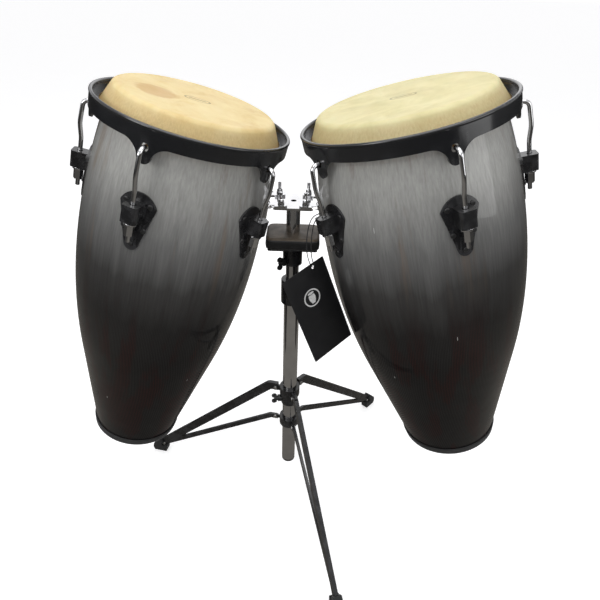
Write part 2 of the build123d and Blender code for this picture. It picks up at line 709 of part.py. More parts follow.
def make_tripod():
    half = COLLAR_HEIGHT / 2
    upper = make_collar(
        UPPER_PIVOT - half, UPPER_PIVOT + half, OUTER_TUBE + SEAT, UPPER_PIVOT, UPPER_CHANNEL
    )
    upper += clamp_body(SLEEVE, SLEEVE_BOTTOM, UPPER_PIVOT - half, OUTER_TUBE + SEAT, COLLAR_BOLT_AT)
    lower = make_collar(
        LOWER_PIVOT - half, LOWER_PIVOT + half, OUTER_TUBE + SLIDE, LOWER_PIVOT, LOWER_CHANNEL
    )
    pieces = {
        "upper_collar": upper,
        "collar_wing_bolt": outward(COLLAR_BOLT_AT[0], 0, COLLAR_BOLT_AT[1])
        * make_wing_bolt(SLEEVE + BOSS_REACH + SLIDE, OUTER_TUBE + SLIDE),
        "lower_collar": lower,
        "upper_rivets": [],
        "lower_rivets": [],
    }
    rows = (("upper", UPPER_CHANNEL, UPPER_PIVOT), ("lower", LOWER_CHANNEL, LOWER_PIVOT))
    for index, angle in enumerate(LEG_ANGLES, start=1):
        turn = Rot(0, 0, angle)
        for row, channel, height in rows:
            pieces[f"{row}_strut_{index}"] = turn * make_strut(channel, height)
            rivet = make_rivet(PIVOT_REACH, height, channel["width"] / 2)
            pieces[f"{row}_rivets"].append(turn * rivet)
        pieces[f"foot_{index}"] = turn * make_foot()
        pieces[f"foot_rivet_{index}"] = turn * make_foot_rivet()
    return pieces


def make_drum(name, drum, pieces):
    turn = drum_place(drum)
    pieces[f"{name}_shell"] = turn * make_shell(drum)
    pieces[f"{name}_head_skin"] = turn * make_skin(drum)
    pieces[f"{name}_rim"] = turn * make_rim(drum)
    pieces[f"{name}_bottom_ring"] = turn * make_bottom_ring(drum)
    pieces["flesh_hoops"].append(turn * make_hoop(drum))
    pieces["drum_brackets"].append(make_bracket(drum))
    for place in bolt_places(drum):
        pieces["bracket_bolts"].append(turn * place * make_bracket_bolt())
    hook = make_hook(drum)
    for index, angle in enumerate(LUG_ANGLES, start=1):
        pieces["tension_hooks"].append(turn * Rot(0, 0, angle) * hook)
        pieces["tension_washers"].append(turn * make_washer(drum, angle))
        pieces[f"{name}_tension_nut_{index}"] = turn * make_tension_nut(drum, angle)
        for place in screw_places(drum, angle):
            pieces["lug_screws"].append(turn * place * make_screw())
    pieces["lug_plates"] += [turn * plate for plate in make_lug_plates(drum)]


def make_pieces():
    pieces = {**make_stand(), **make_tripod()}
    for name in (
        "flesh_hoops",
        "drum_brackets",
        "bracket_bolts",
        "tension_hooks",
        "tension_washers",
        "lug_screws",
        "lug_plates",
    ):
        pieces[name] = []
    make_drum("quinto", QUINTO, pieces)
    make_drum("conga", CONGA, pieces)
    return pieces


def tag_plane():
    return Plane(origin=TAG_MIDDLE, x_dir=TAG_ACROSS, z_dir=TAG_FACE)


def make_tag():
    card = RectangleRounded(TAG_WIDTH, TAG_HEIGHT, 2) - Pos(*TAG_HOLE_AT) * Circle(TAG_HOLE)
    return tag_plane() * extrude(card, TAG_SHEET / 2, both=True)


def make_tag_loop():
    # Round the hook, through the card's hole and back, with arcs as large as the runs allow.
    points = [Vector(*point) for point in CORD_ROUTE]
    runs = [after - before for before, after in zip(points, points[1:])]
    radii = []
    for before, after in zip(runs, runs[1:]):
        turn = radians(before.get_angle(after))
        radii.append(0.45 * min(before.length, after.length) / tan(turn / 2))
    path = FilletPolyline(*points, radius=radii)
    cord = sweep(Plane(origin=path @ 0, z_dir=path % 0) * Circle(CORD), path=path)
    print("cord radii", [round(radius, 1) for radius in radii])
    print("cord length", round(path.length, 1), "volume share", cord.volume / (path.length * pi * CORD**2))
    return cord


def solids_of(piece):
    if isinstance(piece, list):
        return [solid for part in piece for solid in part.solids()]
    return list(piece.solids())


pieces = {name: Compound(solids_of(piece)) for name, piece in make_pieces().items()}
box = Compound([solid for piece in pieces.values() for solid in piece.solids()]).bounding_box()
CENTRE = ((box.min.X + box.max.X) / 2, (box.min.Y + box.max.Y) / 2, box.min.Z)
pieces["hang_tag"] = Compound(solids_of(make_tag()))
pieces["tag_loop"] = Compound(solids_of(make_tag_loop()))
os.makedirs("parts", exist_ok=True)
for name, piece in pieces.items():
    export_step(Pos(-CENTRE[0], -CENTRE[1], -CENTRE[2]) * piece, f"parts/{name}.step")
print("origin in the stand's frame", [round(value, 4) for value in CENTRE])
print("size", [round(value, 2) for value in (box.size.X, box.size.Y, box.size.Z)])
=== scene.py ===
import json
import math

import bmesh
import bpy
import numpy as np
from mathutils import Matrix, Vector


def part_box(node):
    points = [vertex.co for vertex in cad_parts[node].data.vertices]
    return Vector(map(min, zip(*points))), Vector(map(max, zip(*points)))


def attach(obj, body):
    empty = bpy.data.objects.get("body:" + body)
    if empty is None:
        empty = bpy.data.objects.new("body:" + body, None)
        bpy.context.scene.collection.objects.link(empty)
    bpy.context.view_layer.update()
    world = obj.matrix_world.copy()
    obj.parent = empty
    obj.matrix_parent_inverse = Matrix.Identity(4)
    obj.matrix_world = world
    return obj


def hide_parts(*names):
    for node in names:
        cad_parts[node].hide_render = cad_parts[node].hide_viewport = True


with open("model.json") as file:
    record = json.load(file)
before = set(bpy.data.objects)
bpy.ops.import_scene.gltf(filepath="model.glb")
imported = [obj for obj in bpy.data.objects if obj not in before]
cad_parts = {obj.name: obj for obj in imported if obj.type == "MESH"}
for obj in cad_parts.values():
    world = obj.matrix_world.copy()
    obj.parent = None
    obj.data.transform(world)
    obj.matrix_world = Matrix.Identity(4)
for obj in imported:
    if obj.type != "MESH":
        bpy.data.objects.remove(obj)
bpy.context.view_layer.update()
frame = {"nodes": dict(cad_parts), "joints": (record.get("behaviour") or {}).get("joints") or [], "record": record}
scene = bpy.context.scene
scene.view_settings.view_transform = "Standard"
print("frame", len(frame["nodes"]), "nodes")

# Every length is in metres and every position comes from the frame's own nodes and joints.
tubeLow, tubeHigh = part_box("inner_tube")
standX = (tubeLow[0] + tubeHigh[0]) / 2
standY = (tubeLow[1] + tubeHigh[1]) / 2
joints = {joint["name"]: joint for joint in frame["joints"]}


# Camera: in front of the stand at standing height, looking down at the heads.
camera = {
    "right": 0.01902, "back": 0.85833, "height": 1.07852, "lens": 30.09,
    "forward": (-0.00193, 0.84354, -0.53706), "roll": 1.84,
}


def makeCamera(settings):
    forward = Vector(settings["forward"]).normalized()
    right = forward.cross(Vector((0, 0, 1))).normalized()
    up = right.cross(forward)
    roll = math.radians(settings["roll"])
    tiltedRight = math.cos(roll) * right + math.sin(roll) * up
    tiltedUp = -math.sin(roll) * right + math.cos(roll) * up
    turn = Matrix((tiltedRight, tiltedUp, -forward)).transposed().to_4x4()
    place = (standX + settings["right"], standY - settings["back"], settings["height"])
    data = bpy.data.cameras.new("camera")
    data.lens = settings["lens"]
    data.sensor_width = 36
    eye = bpy.data.objects.new("camera", data)
    eye.matrix_world = Matrix.Translation(place) @ turn
    scene.collection.objects.link(eye)
    scene.camera = eye


makeCamera(camera)


# Hang tag's cord: a thin loop round the hook and through the card's hole.
tagCord = {
    "diameter": 0.0016, "length": 0.2649,
    "route": [
        (0.0472, -0.1156, 0.7659), (0.0375, -0.1215, 0.7625), (0.0335, -0.1215, 0.743),
        (0.0325, -0.115, 0.715), (0.034, -0.099, 0.682), (0.0417, -0.0933, 0.6583),
        (0.0338, -0.0821, 0.6555), (0.027, -0.084, 0.678), (0.025, -0.096, 0.702),
        (0.0255, -0.111, 0.729), (0.028, -0.12, 0.753), (0.035, -0.121, 0.7685),
        (0.0462, -0.1155, 0.7694),
    ],
}


def makeCord(settings):
    route = [(x + standX, y + standY, z) for x, y, z in settings["route"]]
    curve = bpy.data.curves.new("tag_cord", "CURVE")
    curve.dimensions = "3D"
    curve.bevel_depth = settings["diameter"] / 2
    curve.bevel_resolution = 4
    curve.resolution_u = 16
    curve.use_fill_caps = True
    spline = curve.splines.new("NURBS")
    spline.points.add(len(route) - 1)
    spline.points.foreach_set("co", [value for point in route for value in (*point, 1)])
    spline.order_u = 3
    spline.use_endpoint_u = True
    cord = bpy.data.objects.new("tag_cord", curve)
    scene.collection.objects.link(cord)
    return cord, route[0]


cordPiece, cordExit = makeCord(tagCord)
print("camera and cord")


# Shared node helpers: an input given as a socket is linked, and any other value is set.
def addNode(tree, kind, inputs=None, **settings):
    made = tree.nodes.new(kind)
    for name, value in settings.items():
        setattr(made, name, value)
    for name, value in (inputs or {}).items():
        if isinstance(value, bpy.types.NodeSocket):
            tree.links.new(value, made.inputs[name])
        else:
            made.inputs[name].default_value = value
    return made


def mathNode(tree, operation, *values):
    return addNode(tree, "ShaderNodeMath", dict(enumerate(values)), operation=operation).outputs[0]


def times(tree, first, second):
    return mathNode(tree, "MULTIPLY", first, second)


def opaque(colour):
    return (*colour, 1) if isinstance(colour, tuple) and len(colour) == 3 else colour


def mixNode(tree, factor, first, second, blend="MIX"):
    values = {0: factor, 6: opaque(first), 7: opaque(second)}
    return addNode(tree, "ShaderNodeMix", values, data_type="RGBA", blend_type=blend).outputs[2]


def tinted(tree, shade, mask, strength, colour):
    return mixNode(tree, times(tree, mask, strength), shade, colour)


def rampNode(tree, value, stops):
    ramp = addNode(tree, "ShaderNodeValToRGB", {0: value})
    elements = ramp.color_ramp.elements
    while len(elements) < len(stops):
        elements.new(0.5)
    for element, (position, colour) in zip(elements, stops):
        element.position = position
        element.color = opaque(colour)
    return ramp.outputs[0]


def spread(tree, value, low, high):
    # Smoothly 0 at low to 1 at high, which may be the smaller of the two.
    values = {0: value, 1: low, 2: high}
    return addNode(tree, "ShaderNodeMapRange", values, interpolation_type="SMOOTHSTEP").outputs[0]


def noiseNode(tree, place, scale, detail, **more):
    inputs = {"Vector": place, "Scale": scale, "Detail": detail, **more}
    return addNode(tree, "ShaderNodeTexNoise", inputs).outputs[0]


def cellNode(tree, place, scale, **more):
    inputs = {"Vector": place, "Scale": scale, **more}
    return addNode(tree, "ShaderNodeTexVoronoi", inputs, feature="SMOOTH_F1").outputs["Distance"]


def mapped(tree, place, location=(0, 0, 0), scale=(1, 1, 1)):
    inputs = {"Vector": place, "Location": location, "Scale": scale}
    return addNode(tree, "ShaderNodeMapping", inputs).outputs[0]


def shiftedBy(tree, place, offset):
    return addNode(tree, "ShaderNodeVectorMath", {0: place, 1: offset}).outputs[0]


def newGroup(name, inputs, output):
    group = bpy.data.node_groups.new(name, "ShaderNodeTree")
    group.interface.new_socket("Vector", in_out="INPUT", socket_type="NodeSocketVector")
    for label, kind, start in inputs:
        socket = group.interface.new_socket(label, in_out="INPUT", socket_type=kind)
        socket.default_value = start
    group.interface.new_socket(output, in_out="OUTPUT", socket_type=numberSocket)
    given = group.nodes.new("NodeGroupInput").outputs
    return group, given, group.nodes.new("NodeGroupOutput").inputs[0]


vectorSocket = "NodeSocketVector"
numberSocket = "NodeSocketFloat"


# Noise stretched along one way and cut to a range: wood grain, fibres, brushing.
def makeGrainGroup():
    inputs = [("Stretch", vectorSocket, (40, 40, 3)), ("Detail", numberSocket, 6.0),
              ("Low", numberSocket, 0.35), ("High", numberSocket, 0.65)]
    group, given, result = newGroup("stretchedGrain", inputs, "Value")
    stretched = addNode(group, "ShaderNodeVectorMath", {0: given["Vector"], 1: given["Stretch"]},
                        operation="MULTIPLY").outputs[0]
    noise = noiseNode(group, stretched, 1.0, given["Detail"], Roughness=0.6)
    value = addNode(group, "ShaderNodeMapRange", {0: noise, 1: given["Low"], 2: given["High"]})
    group.links.new(value.outputs[0], result)
    return group


# Small round spots in a share of the cells.
def makeSpeckGroup():
    inputs = [("Scale", numberSocket, 300.0), ("Size", numberSocket, 0.12), ("Share", numberSocket, 0.1)]
    group, given, result = newGroup("specks", inputs, "Mask")
    cells = addNode(group, "ShaderNodeTexVoronoi", {"Vector": given["Vector"], "Scale": given["Scale"]})
    near = mathNode(group, "LESS_THAN", cells.outputs["Distance"], given["Size"])
    chosen = addNode(group, "ShaderNodeSeparateColor", {0: cells.outputs["Color"]}).outputs[0]
    kept = mathNode(group, "LESS_THAN", chosen, given["Share"])
    group.links.new(times(group, near, kept), result)
    return group


# Broken wear along convex edges.
def makeWearGroup():
    inputs = [("Scale", numberSocket, 60.0), ("Amount", numberSocket, 1.0)]
    group, given, result = newGroup("edgeWear", inputs, "Mask")
    point = addNode(group, "ShaderNodeNewGeometry").outputs["Pointiness"]
    edge = spread(group, point, 0.51, 0.56)
    noise = noiseNode(group, given["Vector"], given["Scale"], 4.0)
    broken = times(group, edge, spread(group, noise, 0.42, 0.62))
    group.links.new(times(group, broken, given["Amount"]), result)
    return group


# Roughness that wanders between a clean and a handled value.
def makeSmudgeGroup():
    inputs = [("Scale", numberSocket, 20.0), ("Low", numberSocket, 0.1), ("High", numberSocket, 0.2)]
    group, given, result = newGroup("smudges", inputs, "Roughness")
    noise = noiseNode(group, given["Vector"], given["Scale"], 5.0, Distortion=0.6)
    value = addNode(group, "ShaderNodeMapRange", {
        0: noise, 1: 0.3, 2: 0.7, 3: given["Low"], 4: given["High"]})
    group.links.new(value.outputs[0], result)
    return group


grainGroup = makeGrainGroup()
speckGroup = makeSpeckGroup()
wearGroup = makeWearGroup()
smudgeGroup = makeSmudgeGroup()


def useGroup(tree, group, inputs):
    return addNode(tree, "ShaderNodeGroup", inputs, node_tree=group).outputs[0]


def grain(tree, place, stretch, low, high):
    return useGroup(tree, grainGroup, {"Vector": place, "Stretch": stretch, "Low": low, "High": high})


def specks(tree, place, scale, size, share):
    return useGroup(tree, speckGroup, {"Vector": place, "Scale": scale, "Size": size, "Share": share})


def newMaterial(name, **sockets):
    material = bpy.data.materials.new(name)
    material.use_nodes = True
    tree = material.node_tree
    shader = tree.nodes["Principled BSDF"]
    for label, value in sockets.items():
        shader.inputs[label.replace("_", " ")].default_value = value
    place = addNode(tree, "ShaderNodeTexCoord").outputs["Object"]
    return material, tree, shader, place


def colourFrom(tree, shader, shade):
    tree.links.new(shade, shader.inputs["Base Color"])


def roughFrom(tree, shader, place, scale, low, high):
    inputs = {"Vector": place, "Scale": scale, "Low": low, "High": high}
    tree.links.new(useGroup(tree, smudgeGroup, inputs), shader.inputs["Roughness"])


def bumpFrom(tree, shader, height, strength, distance):
    bump = addNode(tree, "ShaderNodeBump", {"Height": height, "Strength": strength, "Distance": distance})
    tree.links.new(bump.outputs[0], shader.inputs["Normal"])


# The two drums: each has a frame of its own, its bracket along X and its head at height 0.
drums = {
    "quinto": {"top": 0.127, "belly": 0.158, "foot": 0.0845, "taper": 0.22},
    "conga": {"top": 0.1395, "belly": 0.174, "foot": 0.093, "taper": 0.242},
}
shell = {
    "length": 0.711, "wall": 0.012, "bellyDepth": 0.26, "rings": 150, "segments": 240,
    "nutDepth": 0.1692, "firstLug": 36,
}


def drumFrame(name):
    # The five nuts stand evenly round the drum's axis, the first one a known angle from the bracket.
    spots = [Vector(joints[f"{name}_nut_turn_{index}"]["pos_m"]) for index in range(1, 6)]
    axis = Vector(joints[f"{name}_nut_turn_1"]["axis"]).normalized()
    axis = axis if axis.z > 0 else -axis
    centre = sum(spots, Vector()) / 5
    lug = (spots[0] - centre).normalized()
    angle = math.radians(shell["firstLug"])
    across = math.cos(angle) * lug - math.sin(angle) * axis.cross(lug)
    turn = Matrix((across, axis.cross(across), axis)).transposed()
    return Matrix.Translation(centre + shell["nutDepth"] * axis) @ turn.to_4x4()


def shellRadius(drum, depth):
    # An arc down to the belly, a second arc below it, then a straight taper to the foot.
    deep = shell["bellyDepth"]
    drop = drum["belly"] - drum["foot"]
    upper = (deep ** 2 + (drum["belly"] - drum["top"]) ** 2) / (2 * (drum["belly"] - drum["top"]))
    slope = math.atan(drum["taper"])
    run = shell["length"] - deep
    lower = (drum["taper"] * run - drop) / (drum["taper"] * math.sin(slope) - 1 + math.cos(slope))
    depth = np.asarray(depth, float)
    radius = np.where(depth < deep, upper, lower)
    arc = drum["belly"] - radius + np.sqrt(radius ** 2 - np.minimum(np.abs(depth - deep), radius * 0.9) ** 2)
    cone = drum["foot"] + drum["taper"] * (shell["length"] - depth)
    return np.where(depth > deep + lower * math.sin(slope), cone, arc)


def placed(points, place):
    # Each point turned and then moved by a drum's frame.
    grid = np.asarray(points, float)
    flat = grid.reshape(-1, 3)
    turn = np.array(place.to_3x3())
    return (flat @ turn.T + np.array(place.translation)).reshape(grid.shape)


def gridQuads(rows, columns, closedRows=False, closedColumns=False):
    # Point (row, column) is number row * columns + column; a closed grid also joins its last to its first.
    index = np.arange(rows * columns).reshape(rows, columns)
    if closedRows:
        index = np.vstack([index, index[:1]])
    if closedColumns:
        index = np.hstack([index, index[:, :1]])
    quads = np.stack([index[:-1, :-1], index[:-1, 1:], index[1:, 1:], index[1:, :-1]], axis=-1)
    return quads.reshape(-1, 4)


def meshPiece(name, points, quads):
    mesh = bpy.data.meshes.new(name)
    mesh.from_pydata(points.tolist(), [], quads.tolist())
    piece = bpy.data.objects.new(name, mesh)
    scene.collection.objects.link(piece)
    return piece


def gridPiece(name, points, closedRows=False, closedColumns=True, smooth=True):
    # The faces of a grid of points are turned to face outward.
    piece = meshPiece(name, points.reshape(-1, 3), gridQuads(*points.shape[:2], closedRows, closedColumns))
    faceOut(piece, smooth)
    return piece


def faceOut(piece, smooth=True, merge=1e-7):
    work = bmesh.new()
    work.from_mesh(piece.data)
    bmesh.ops.remove_doubles(work, verts=work.verts, dist=merge)
    bmesh.ops.recalc_face_normals(work, faces=work.faces)
    for face in work.faces:
        face.smooth = smooth
    work.to_mesh(piece.data)
    work.free()


def lathePiece(name, profile, place, segments):
    # A profile of (radius, height) rows turned about the drum's axis, closed back onto its first row.
    turn = np.linspace(0, 2 * np.pi, segments, endpoint=False)
    radius, height = profile[:, :1], profile[:, 1:]
    points = np.stack([radius * np.cos(turn), radius * np.sin(turn), height + 0 * turn], axis=-1)
    return gridPiece(name, placed(points, place), closedRows=True)


def arcPoints(centre, radius, start, end, count):
    # Centre plus radius times (cosine, sine) of angles evenly from start to end, in degrees.
    angles = np.radians(np.linspace(start, end, count))
    return np.stack([centre[0] + radius * np.cos(angles), centre[1] + radius * np.sin(angles)], axis=1)


def shellProfile(drum):
    # Down the outside, up the inside one wall further in, and over a half round crown.
    nose = shell["wall"] / 2
    depth = np.linspace(nose, shell["length"], shell["rings"])
    outer = np.stack([shellRadius(drum, depth), -depth], axis=1)
    inner = np.stack([shellRadius(drum, depth) - shell["wall"], -depth], axis=1)[::-1]
    edge = float(shellRadius(drum, nose))
    crown = arcPoints((edge - nose, -nose), nose, 180, 0, 12)[1:-1]
    return np.vstack([outer, inner, crown])


# Heads: a flat top, a rounded crest and a collar that leans out to the hoop inside the rim.
head = {"skin": 0.0017, "gap": 0.0001, "crest": 0.0105, "lean": 26.0, "tuck": 0.042, "sheet": 0.0016,
        "hoopRod": 0.0035, "segments": 256}


def headProfile(drum):
    # Over the flat, the crest and the collar to the hoop, then back along the underside.
    nose = shell["wall"] / 2
    lean = math.radians(head["lean"])
    middle = float(shellRadius(drum, nose)) - nose
    crestRadius = head["crest"]
    top = head["skin"]
    inside = nose + 2 * head["gap"]
    bend = nose + head["skin"]
    shift = ((crestRadius - nose - top) * math.sin(lean) + bend - crestRadius) / math.cos(lean)
    centre = (middle + shift, top - crestRadius)
    flat = np.stack([np.linspace(0, centre[0], 24), np.full(24, top)], axis=1)
    crest = arcPoints(centre, crestRadius, 90, head["lean"], 14)
    outside = collarLine(middle, nose, bend, head["tuck"] - head["sheet"])
    hoop = outside[-1] + np.array([head["hoopRod"] / math.cos(lean), 0.0])
    under = collarLine(middle, nose, inside, head["tuck"])[::-1]
    ledge = np.array([hoop, [hoop[0], -head["tuck"]]])
    inner = arcPoints((middle, -nose), inside, head["lean"], 90, 10)
    low = np.stack([np.linspace(middle, 0, 24), np.full(24, 2 * head["gap"])], axis=1)
    return np.vstack([flat, crest[1:], outside[1:], ledge, under, inner[1:], low[1:]])


def collarLine(middle, nose, bend, depth, count=20):
    # From the end of a round of radius bend over the crown, straight down and out to the given depth.
    lean = math.radians(head["lean"])
    start = np.array([middle + bend * math.cos(lean), bend * math.sin(lean) - nose])
    drops = np.linspace(0, depth + start[1], count)
    return np.stack([start[0] + drops * math.tan(lean), start[1] - drops], axis=1)


def toDrum(tree, place, matrix):
    # Object coordinates turned into a drum's own frame.
    back = matrix.inverted()
    return addNode(tree, "ShaderNodeMapping", {
        "Vector": place, "Location": back.translation, "Rotation": back.to_euler("XYZ")}).outputs[0]


def depthBelow(tree, local):
    return times(tree, addNode(tree, "ShaderNodeSeparateXYZ", {0: local}).outputs[2], -1.0)


# Lacquer: silver at the head fading to black, over stretched grain, with faint arcs lower down.
lacquer = {
    "metallic": 0.1, "specular": 0.12, "coatRoughness": 0.03, "coatIndex": 1.4,
    "broadGrain": ((30, 30, 1.8), 0.3, 0.7), "fineGrain": ((330, 330, 9), 0.25, 0.75),
    "wobble": 0.035, "fadeDepths": (0.05, 0.45),
    "fade": [
        (0.0, (0.44, 0.44, 0.42)), (0.18, (0.33, 0.33, 0.315)), (0.38, (0.15, 0.15, 0.147)),
        (0.58, (0.042, 0.041, 0.04)), (0.78, (0.011, 0.0105, 0.0105)), (1.0, (0.0028, 0.0025, 0.0026))],
    "grainTones": [(0.0, (0.82, 0.81, 0.8)), (0.5, (1, 1, 1)), (1.0, (1.2, 1.2, 1.18))],
    "brown": (0.22, 0.15, 0.1), "brownGrain": (0.62, 0.95), "brownDepths": (0.32, 0.12), "brownShare": 0.45,
    "arcPlace": (-0.13, 0, 0.1), "arcScale": (1, 1, 0.3), "arcCount": 120.0, "arcWander": 2.5,
    "arcRange": (0.45, 0.95), "arcDepths": (0.26, 0.42), "arcShare": 0.5, "arcGrain": (0.45, 0.7),
    "arcGrey": (0.035, 0.034, 0.033), "arcRed": (0.06, 0.012, 0.01),
    "fleckStretch": (1, 1, 0.13), "flecks": (70.0, 0.06, 0.16), "fleckShade": (0.55, 0.55, 0.53),
    "fleckShare": 0.55, "smudges": (14.0, 0.32, 0.45), "bump": (0.05, 0.0004),
}


def shellMaterial(name, matrix, seed):
    material, tree, shader, place = newMaterial(
        name, Metallic=lacquer["metallic"], Specular_IOR_Level=lacquer["specular"], Coat_Weight=1.0,
        Coat_Roughness=lacquer["coatRoughness"], Coat_IOR=lacquer["coatIndex"])
    local = toDrum(tree, place, matrix)
    depth = depthBelow(tree, local)
    shifted = shiftedBy(tree, local, (seed, seed, seed))
    broad = grain(tree, shifted, *lacquer["broadGrain"])
    fine = grain(tree, shifted, *lacquer["fineGrain"])
    wobble = mathNode(tree, "MULTIPLY_ADD", broad, lacquer["wobble"], depth)
    near, far = lacquer["fadeDepths"]
    fade = addNode(tree, "ShaderNodeMapRange", {0: wobble, 1: near, 2: far}).outputs[0]
    shade = rampNode(tree, fade, lacquer["fade"])
    shade = mixNode(tree, 1.0, shade, rampNode(tree, fine, lacquer["grainTones"]), "MULTIPLY")
    brownGrain = spread(tree, broad, *lacquer["brownGrain"])
    brown = times(tree, brownGrain, spread(tree, depth, *lacquer["brownDepths"]))
    shade = tinted(tree, shade, brown, lacquer["brownShare"], lacquer["brown"])
    waveInputs = {
        "Vector": mapped(tree, local, lacquer["arcPlace"], lacquer["arcScale"]),
        "Scale": lacquer["arcCount"], "Distortion": lacquer["arcWander"], "Detail": 2.0, "Detail Scale": 0.5,
    }
    waves = addNode(tree, "ShaderNodeTexWave", waveInputs, wave_type="RINGS", rings_direction="Y").outputs[0]
    wavesCut = spread(tree, waves, *lacquer["arcRange"])
    lower = times(tree, wavesCut, spread(tree, depth, *lacquer["arcDepths"]))
    arcs = mixNode(tree, spread(tree, broad, *lacquer["arcGrain"]), lacquer["arcGrey"], lacquer["arcRed"])
    shade = tinted(tree, shade, lower, lacquer["arcShare"], arcs)
    flecks = specks(tree, mapped(tree, shifted, scale=lacquer["fleckStretch"]), *lacquer["flecks"])
    shade = tinted(tree, shade, flecks, lacquer["fleckShare"], lacquer["fleckShade"])
    colourFrom(tree, shader, shade)
    roughFrom(tree, shader, shifted, *lacquer["smudges"])
    bumpFrom(tree, shader, fine, *lacquer["bump"])
    return material


# Rawhide: clouded tan with a stain, a fibrous collar that turns amber under the hoop, pores and a stamp.
rawhide = {
    "subsurface": 0.08, "scatter": 0.006, "specular": 0.35,
    "cloudScale": 17.0, "cloudRoughness": 0.62, "cloudWander": 0.8,
    "streaks": ((26, 7, 10), 0.3, 0.7), "streakShare": 0.4,
    "stain": (0.5, 0.28, 0.1), "stainRagged": 0.05, "stainEdge": 0.014,
    "fibres": ((420, 420, 18), 0.35, 0.68), "fibreShade": (0.36, 0.2, 0.07), "fibreShare": 0.28,
    "sideDepths": (0.001, 0.012), "sideShare": 0.55,
    "amber": (0.45, 0.22, 0.06), "amberDepths": (0.02, 0.036), "amberShare": 0.6,
    "pores": (420.0, 0.16, 0.14), "poreShade": (0.3, 0.18, 0.07), "poreShare": 0.18,
    "ink": (0.12, 0.08, 0.05), "inkShare": 0.6, "smudges": (25.0, 0.42, 0.6), "bump": (0.18, 0.0006),
}


def rawhideMaterial(name, matrix, drum):
    material, tree, shader, place = newMaterial(
        name, Subsurface_Weight=rawhide["subsurface"], Subsurface_Scale=rawhide["scatter"],
        Specular_IOR_Level=rawhide["specular"])
    tint, stain, seed = drum["tint"], drum["stain"], drum["seed"]
    local = toDrum(tree, place, matrix)
    shifted = shiftedBy(tree, local, (seed, 0, seed))
    depth = depthBelow(tree, local)
    cloud = noiseNode(tree, shifted, rawhide["cloudScale"], 6.0, Roughness=rawhide["cloudRoughness"],
                      Distortion=rawhide["cloudWander"])
    shade = rampNode(tree, cloud, [(0.25, tint["deep"]), (0.5, tint["middle"]), (0.75, tint["pale"])])
    streaks = grain(tree, shifted, *rawhide["streaks"])
    shade = tinted(tree, shade, streaks, rawhide["streakShare"], tint["pale"])
    away = addNode(tree, "ShaderNodeVectorMath", {0: local, 1: stain["centre"]}, operation="DISTANCE")
    ragged = mathNode(tree, "MULTIPLY_ADD", cloud, rawhide["stainRagged"], away.outputs["Value"])
    stained = spread(tree, ragged, stain["reach"] + rawhide["stainEdge"], stain["reach"])
    shade = tinted(tree, shade, stained, stain["strength"], rawhide["stain"])
    fibres = grain(tree, shifted, *rawhide["fibres"])
    side = spread(tree, depth, *rawhide["sideDepths"])
    shade = tinted(tree, shade, side, rawhide["sideShare"], tint["collar"])
    sideFibres = times(tree, side, fibres)
    shade = tinted(tree, shade, sideFibres, rawhide["fibreShare"], rawhide["fibreShade"])
    amber = spread(tree, depth, *rawhide["amberDepths"])
    shade = tinted(tree, shade, amber, rawhide["amberShare"], rawhide["amber"])
    pores = specks(tree, shifted, *rawhide["pores"])
    shade = tinted(tree, shade, pores, rawhide["poreShare"], rawhide["poreShade"])
    shade = tinted(tree, shade, stampMask(tree, local), rawhide["inkShare"], rawhide["ink"])
    colourFrom(tree, shader, shade)
    roughFrom(tree, shader, shifted, *rawhide["smudges"])
    bumpFrom(tree, shader, mathNode(tree, "ADD", sideFibres, cloud), *rawhide["bump"])
    return material


stamp = {
    "halfLong": 0.02, "halfWide": 0.0105, "line": (0.1, 0.05), "barLong": (0.72, 0.66),
    "barWide": (0.22, 0.14), "topOnly": (-0.004, 0.0),
}


def stampMask(tree, local):
    # A plain oval outline with a bar across it, printed at the middle of the head.
    parts = addNode(tree, "ShaderNodeSeparateXYZ", {0: local}).outputs
    x = mathNode(tree, "DIVIDE", parts[0], stamp["halfLong"])
    y = mathNode(tree, "DIVIDE", parts[1], stamp["halfWide"])
    away = mathNode(tree, "SQRT", mathNode(tree, "ADD", times(tree, x, x), times(tree, y, y)))
    rim = spread(tree, mathNode(tree, "ABSOLUTE", mathNode(tree, "SUBTRACT", away, 1.0)), *stamp["line"])
    inLength = spread(tree, mathNode(tree, "ABSOLUTE", x), *stamp["barLong"])
    inWidth = spread(tree, mathNode(tree, "ABSOLUTE", y), *stamp["barWide"])
    mark = mathNode(tree, "MAXIMUM", rim, times(tree, inLength, inWidth))
    return times(tree, mark, spread(tree, parts[2], *stamp["topOnly"]))


# Black enamels: paint with slight orange peel, worn edges and a little dust.
enamels = {
    "rimEnamel": {"shade": (0.011, 0.0115, 0.013), "rough": (0.16, 0.26), "coat": 0.6, "wear": 0.1},
    "blackEnamel": {"shade": (0.012, 0.012, 0.013), "rough": (0.2, 0.32), "coat": 0.4, "wear": 0.08},
    "blackBolt": {"shade": (0.016, 0.016, 0.016), "rough": (0.32, 0.48), "coat": 0.1, "wear": 0.2},
    "blackScrew": {"shade": (0.02, 0.02, 0.02), "rough": (0.25, 0.4), "coat": 0.2, "wear": 0.2},
}
paint = {
    "mottle": 0.8, "bare": (0.22, 0.22, 0.23), "dust": (260.0, 0.1, 0.04), "dustShade": (0.4, 0.4, 0.4),
    "dustShare": 0.12, "peel": 900.0, "bump": (0.06, 0.0004),
}


